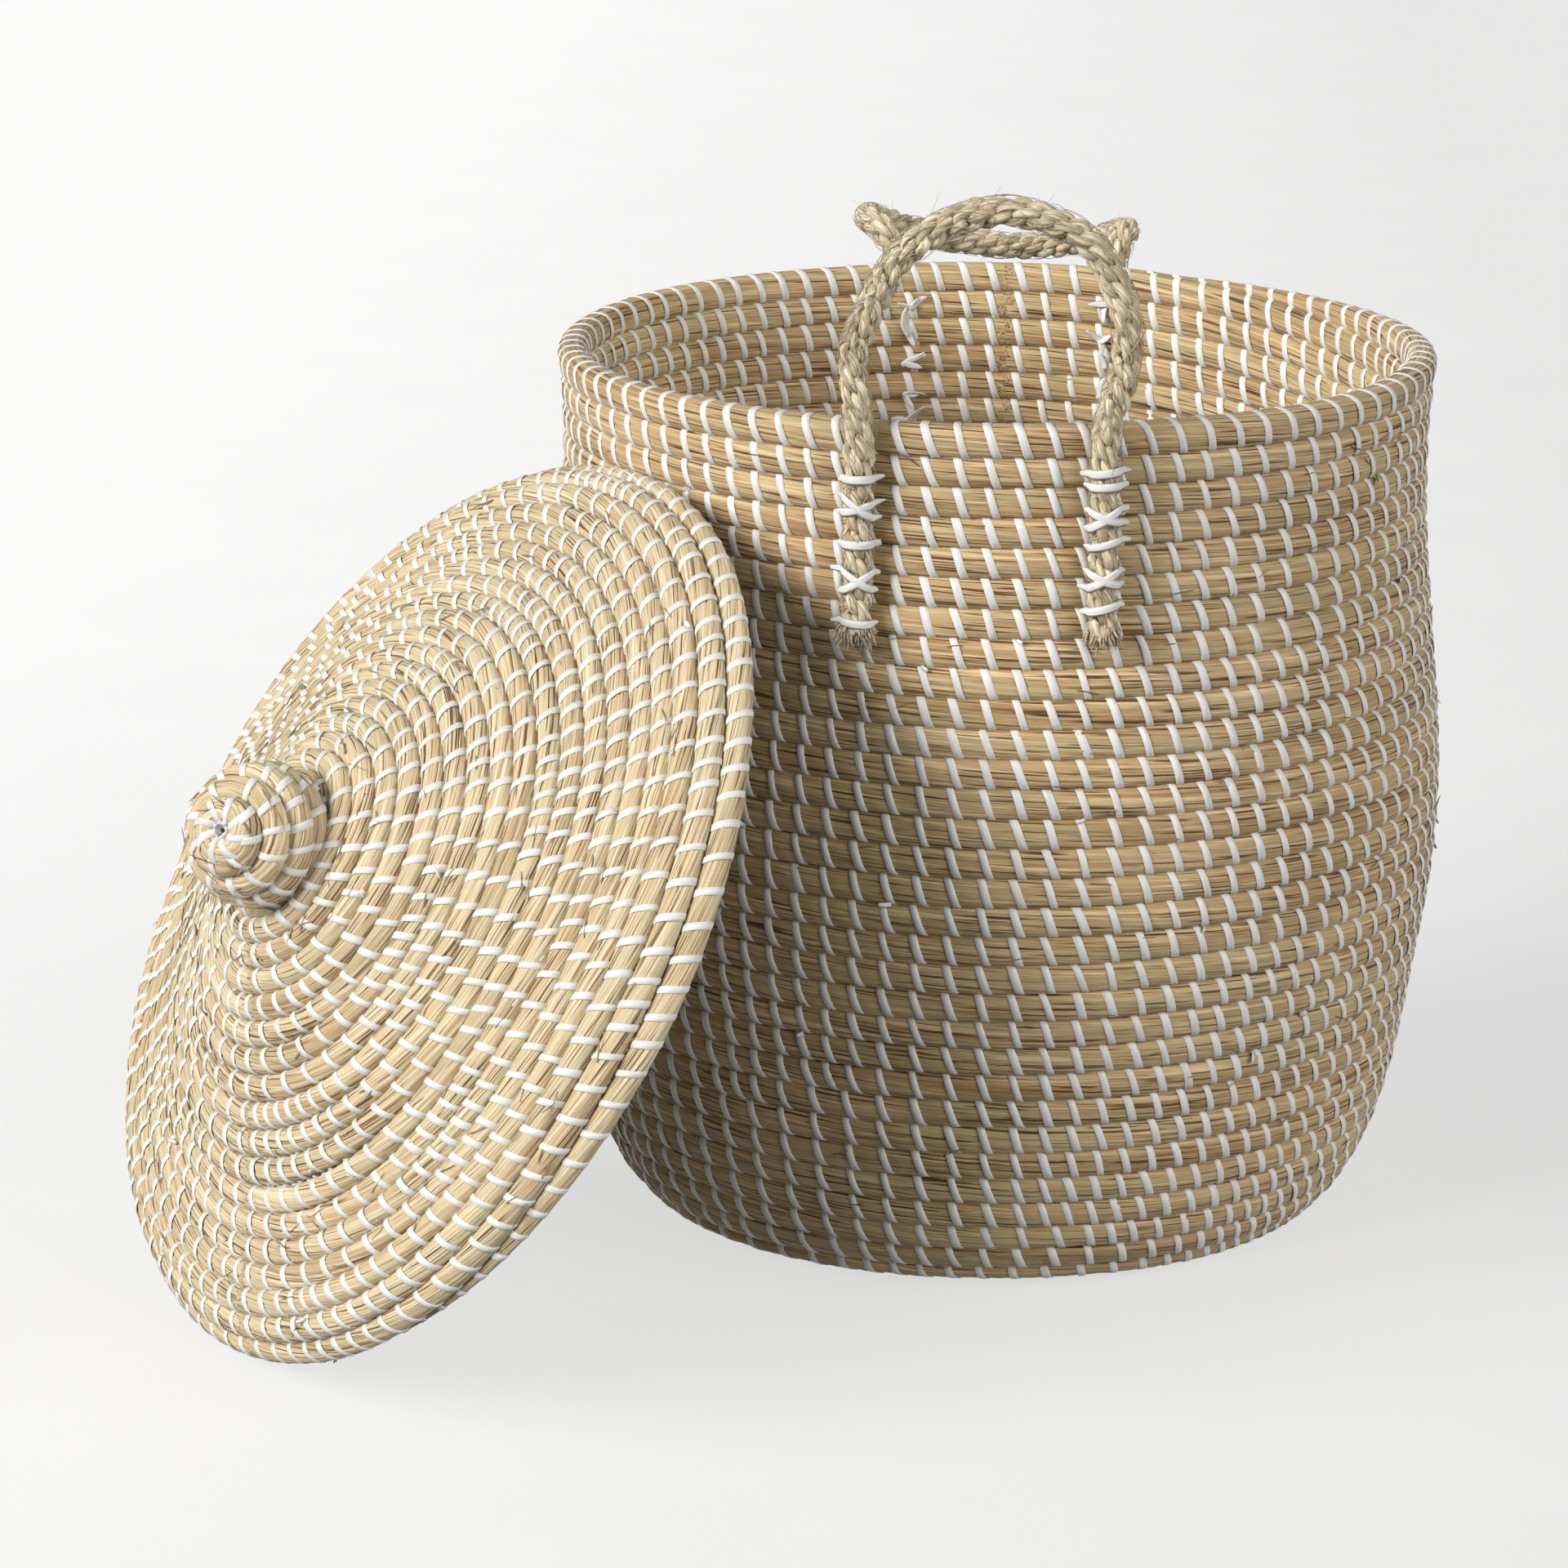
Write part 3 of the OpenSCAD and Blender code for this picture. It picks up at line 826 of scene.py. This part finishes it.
def rope_parts(centre_line, seed):
    """Three strands laid left-handed, each of two yarns twisted the other way, with loose fibres."""
    chance = np.random.default_rng(seed)
    path, length = smooth_path(centre_line, 1.6)
    heading, across, other = carried_frame(path, np.array([0.0, 1.0, 0.1]))
    swell = 1 + 0.05 * np.interp(length, np.linspace(0, length[-1], 40), chance.normal(0, 1, 40))
    parts = []
    for strand in range(3):
        spin = -FULL * length / rope_lay + strand * FULL / 3
        away = across * np.cos(spin)[:, None] + other * np.sin(spin)[:, None]
        core = path + away * (strand_r * swell)[:, None]
        _, strand_across, strand_other = carried_frame(core, np.array([0.0, 1.0, 0.1]))
        run = np.concatenate([[0], np.cumsum(np.linalg.norm(np.diff(core, axis=0), axis=1))])
        for yarn in range(2):
            twist = FULL * run / strand_lay + yarn * FULL / 2 + strand
            shift = strand_across * np.cos(twist)[:, None] + strand_other * np.sin(twist)[:, None]
            line = core + shift * yarn_offset
            thick = yarn_r * (1 + 0.09 * np.interp(run, np.linspace(0, run[-1], 70), chance.normal(0, 1, 70)))
            parts.append(thin_tube(line, thick, 9, chance.uniform(0, 1)))
    # Hairs standing off the rope.
    for _ in range(standing_hairs):
        k = chance.integers(4, len(path) - 5)
        angle = chance.uniform(0, FULL)
        away = across[k] * math.cos(angle) + other[k] * math.sin(angle)
        along = heading[k] * chance.choice([-1, 1])
        reach = chance.uniform(3, 8) * chance.choice([1, 1, 1, 1.7])
        bow = chance.uniform(0.1, 0.5)
        share = np.linspace(0, 1, 7)[:, None]
        droop = chance.normal(0, 0.3, 3)
        start = path[k] + away * (rope_r - 1.5)
        hair = start + reach * (along * share + away * bow * share**1.5 * 0.6 + droop * share**2)
        parts.append(thin_tube(hair, np.linspace(0.17, 0.07, 7), 4, chance.uniform(0, 1)))
    # Fibres lying over the strands.
    for _ in range(lying_fibres):
        run = int(chance.integers(5, 12))
        k = int(chance.integers(1, len(path) - run - 1))
        angle = chance.uniform(0, FULL) + np.linspace(0, chance.normal(0, 1.0), run)
        out_r = (rope_r + 0.2 + 0.9 * np.sin(np.linspace(0, math.pi, run)) * chance.uniform(0, 1))[:, None]
        here = slice(k, k + run)
        away = across[here] * np.cos(angle)[:, None] + other[here] * np.sin(angle)[:, None]
        laid = path[here] + away * out_r
        parts.append(thin_tube(laid, np.full(run, chance.uniform(0.1, 0.22)), 4, chance.uniform(0, 1)))
    return parts


def frayed_end(tip, heading, seed):
    """A tuft of fibres spreading from a cut rope's end: thick yarn ends inside, fine fibres round them."""
    chance = np.random.default_rng(seed)
    longer = chance.uniform(0.9, 1.25)
    parts = []
    for number in range(frayed_fibres):
        thick = number < frayed_fibres // 5
        angle = chance.uniform(0, FULL)
        off = chance.uniform(0, 1) ** 0.5
        side = np.array([math.cos(angle), math.sin(angle) * 0.7 - 0.15, 0.0])
        start = tip + side * off * (5.2 if thick else 6.8) - heading * chance.uniform(3, 8)
        reach = longer * (1 - 0.35 * off**2) * (chance.uniform(7, 10) if thick else chance.uniform(7, 12))
        share = np.linspace(0, 1, 6)[:, None]
        bend = chance.normal(0, 0.14, 3)
        spread = side * (0.08 + 0.34 * off) * share**1.2
        line = start + reach * (heading * share + spread + bend * share**2)
        size = chance.uniform(0.8, 1.2) if thick else chance.uniform(0.3, 0.55)
        taper = np.array([0.9, 1, 1, 1, 0.9, 0.6])
        parts.append(thin_tube(line, size * taper, 6, chance.uniform(0, 1)))
    return parts


# Strips over each leg, as their depths below the rim on the left and on the right of the leg.
front_ties = {
    "left": [(25, 25), (34, 45), (42, 37.5), (57.5, 57.5), (70, 80), (80, 71), (95, 96.5)],
    "right": [(20.5, 18.5), (27, 26), (39.5, 45), (47.5, 37.5), (57, 53), (69, 75), (77, 68), (88, 84)],
}


def lashing_parts(side, ties, seed):
    """Strips that cross a leg and go into the wall on both sides of it."""
    chance = np.random.default_rng(seed)
    parts = []
    x0 = side * leg_span / 2
    bulge = rope_r + 0.75
    for left_drop, right_drop in ties:
        tilt = chance.normal(0, 0.4)
        angle = np.linspace(-86, 86, 13)
        path, face = [], []
        for a in np.radians(angle):
            share = (math.sin(a) + 1) / 2
            height = rim_top - (left_drop * (1 - share) + right_drop * share) + tilt * 0.5
            y = leg_y(height) - bulge * math.cos(a)
            path.append((x0 + bulge * math.sin(a), y, height))
            face.append((math.sin(a), -math.cos(a), 0.0))
        # The ends leave the rope sideways and go into the wall.
        for end, way in ((0, -1), (-1, 1)):
            tip = path[end]
            inward = np.array([way * chance.uniform(1.5, 5), chance.uniform(0.5, 2.5), chance.normal(0, 0.9)])
            extra = tuple(np.array(tip) + inward)
            normal = (way * 0.35, -1.0, 0.1)
            if end == 0:
                path.insert(0, extra)
                face.insert(0, normal)
            else:
                path.append(extra)
                face.append(normal)
        widths = np.full(len(path), 4.3 * chance.uniform(0.9, 1.1))
        widths[[0, -1]] *= chance.uniform(0.15, 0.6, 2)
        parts.append(ribbon(path, np.array(face), widths, chance.uniform(0, 1), 0.42))
    return parts


def knot_parts(side, seed):
    """Strip ends tied off on the inside of the wall behind a leg."""
    chance = np.random.default_rng(seed)
    parts = []
    bearing = -math.pi / 2 + side * math.asin(leg_span / 2 / rim_outer)
    radial = np.array([math.cos(bearing), math.sin(bearing), 0.0])
    along = np.array([-math.sin(bearing), math.cos(bearing), 0.0])
    for drop in (20, 37, 53, 70, 86):
        height = rim_top - drop + chance.normal(0, 1.0)
        inner = wall_crest(height) - 2 * coil_r - 0.6
        middle = radial * inner + np.array([0, 0, height]) + along * chance.normal(0, 2.5)
        for _ in range(3):
            angle = chance.uniform(0, FULL)
            way = along * math.cos(angle) + np.array([0, 0, 1.0]) * math.sin(angle)
            reach = chance.uniform(8, 15)
            share = np.linspace(-0.15, 1, 8)[:, None]
            curl = chance.uniform(0.1, 0.45)
            swing = chance.normal(0, 0.25)
            cross = np.cross(radial, way)
            curved = cross * swing * share**2 - radial * curl * np.abs(share) ** 1.7
            path = middle + reach * (way * share + curved)
            path = path - radial * chance.uniform(0.3, 1.2)
            turn_face = -radial + cross * chance.normal(0, 0.5)
            widths = 4.2 * np.array([0.5, 0.9, 1, 1, 0.95, 0.85, 0.6, 0.15])
            parts.append(ribbon(path, np.broadcast_to(turn_face, path.shape), widths, chance.uniform(0, 1)))
    return parts


def turned(parts, degrees):
    spin = turn_about("Z", degrees)
    return [(points @ spin.T, faces, lay) for points, faces, lay in parts]


def leg_line(side):
    """Centre line of a leg from its cut end up to the bend."""
    heights = np.linspace(leg_top - leg_drop, leg_top, 9)
    return [(side * leg_span / 2, leg_y(z), z) for z in heights]


def make_handle(name, route, degrees, seed):
    loop = [(x, -leg_reach - o, bend_height + u) for x, o, u in route]
    line = leg_line(-1) + loop + leg_line(1)[::-1]
    down = np.array([0.0, -0.25, -1.0])
    parts = rope_parts(line, seed)
    parts += frayed_end(np.array(line[0]), unit(down), seed + 1)
    parts += frayed_end(np.array(line[-1]), unit(down), seed + 2)
    rope = add_piece(name + "_handle_rope", turned(parts, degrees), jute, None)
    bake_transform(rope)
    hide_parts(name + "_handle_loop", name + "_leg_left", name + "_leg_right")
    for side, word in ((-1, "left"), (1, "right")):
        shown = word if degrees == 0 else ("right" if word == "left" else "left")
        ties = lashing_parts(side, front_ties[word], seed + 10 + side)
        lashing_name = f"{name}_lashing_{shown}"
        strips = turned(ties, degrees)
        lashing = add_piece(lashing_name + "_strips", strips, white_strip, "basket")
        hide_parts(lashing_name)
        knots_name = f"{name}_knots_{shown}"
        tails = turned(knot_parts(side, seed + 20 + side), degrees)
        knots = add_piece(knots_name + "_strips", tails, white_strip, "basket")
        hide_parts(knots_name)


make_handle("front", front_route, 0, 51)
make_handle("back", back_route, 180, 71)

# ---- loose ends ----

strays = loose_grass(basket_coil, 0.5, wall_rows - 1.1, 300, 91) + coil_end(basket_coil, 5, 6, 90)
add_piece("basket_loose_grass", strays, basket_grass, "basket")
strays = loose_grass(lid_coil, 0.5, lid_rows - 1.6, 240, 92) + loose_grass(knob_coil, 0.2, 5, 40, 93)
strays += coil_end(lid_coil, 9, 12, 94)
add_piece("lid_loose_grass", strays, lid_grass, "lid")
cut_strips = strip_ends(basket_coil, 2, wall_rows - 2, 46, 95)
add_piece("basket_strip_ends", cut_strips, white_strip, "basket")
cut_strips = strip_ends(lid_coil, 2, lid_rows - 2, 16, 96)
add_piece("lid_strip_ends", cut_strips, white_strip, "lid")

# ---- studio ----

# About as low as the outer rows of the base reach.
floor_height = -0.0016
camera_place = (0.0659, -2.6921, 0.9654)
camera_pitch = 74.314
camera_bearing = 3.7
camera_roll = 0.386
camera_lens = 121.25

scene = bpy.context.scene
centre = (Vector(cad_low) + Vector(cad_high)) / 2


def paper_floor():
    """A wide sheet of paper that sends no bounced light onto the basket."""
    mesh = bpy.data.meshes.new("studio_floor")
    reach = 30.0
    row = 9
    steps = np.linspace(-reach, reach, row)
    points = [(x, y, floor_height) for y in steps for x in steps]
    faces = [(k, k + 1, k + row + 1, k + row) for k in range(row * row - row - 1) if k % row != row - 1]
    mesh.from_pydata(points, [], faces)
    mesh.materials.append(floor_material())
    floor = bpy.data.objects.new("studio_floor", mesh)
    scene.collection.objects.link(floor)
    floor.visible_diffuse = False


def sun_light(name, bearing, height, spread, strength, colour):
    """A soft distant light coming from this bearing and height, in degrees."""
    data = bpy.data.lights.new(name, "SUN")
    data.angle = math.radians(spread)
    data.energy = strength
    data.color = colour
    lamp = bpy.data.objects.new(name, data)
    turn, lift = math.radians(bearing), math.radians(height)
    towards = Vector((math.cos(turn) * math.cos(lift), math.sin(turn) * math.cos(lift), math.sin(lift)))
    lamp.rotation_euler = towards.to_track_quat("Z", "Y").to_euler()
    lamp.location = centre + towards * 3
    scene.collection.objects.link(lamp)


paper_floor()
sun_light("key_light", 220, 22, 28, 2.9, (1.0, 0.99, 0.97))
sun_light("side_light", 200, 38, 28, 1.5, (1.0, 0.99, 0.97))
sun_light("fill_light", 330, 20, 60, 2.2, (1.0, 0.995, 0.98))
world = bpy.data.worlds.new("studio_world")
world.use_nodes = True
world.node_tree.nodes["Background"].inputs["Color"].default_value = (0.98, 0.99, 1.0, 1)
world.node_tree.nodes["Background"].inputs["Strength"].default_value = 0.12
scene.world = world
scene.view_settings.view_transform = "Standard"
scene.view_settings.look = "None"

camera_data = bpy.data.cameras.new("camera")
camera_data.lens = camera_lens
camera_data.sensor_width = 36
camera = bpy.data.objects.new("camera", camera_data)
aim = Euler((math.radians(camera_pitch), 0, math.radians(camera_bearing))).to_matrix()
roll = Matrix.Rotation(math.radians(camera_roll), 3, "Z")
camera.matrix_world = Matrix.Translation(camera_place) @ (aim @ roll).to_4x4()
scene.collection.objects.link(camera)
scene.camera = camera
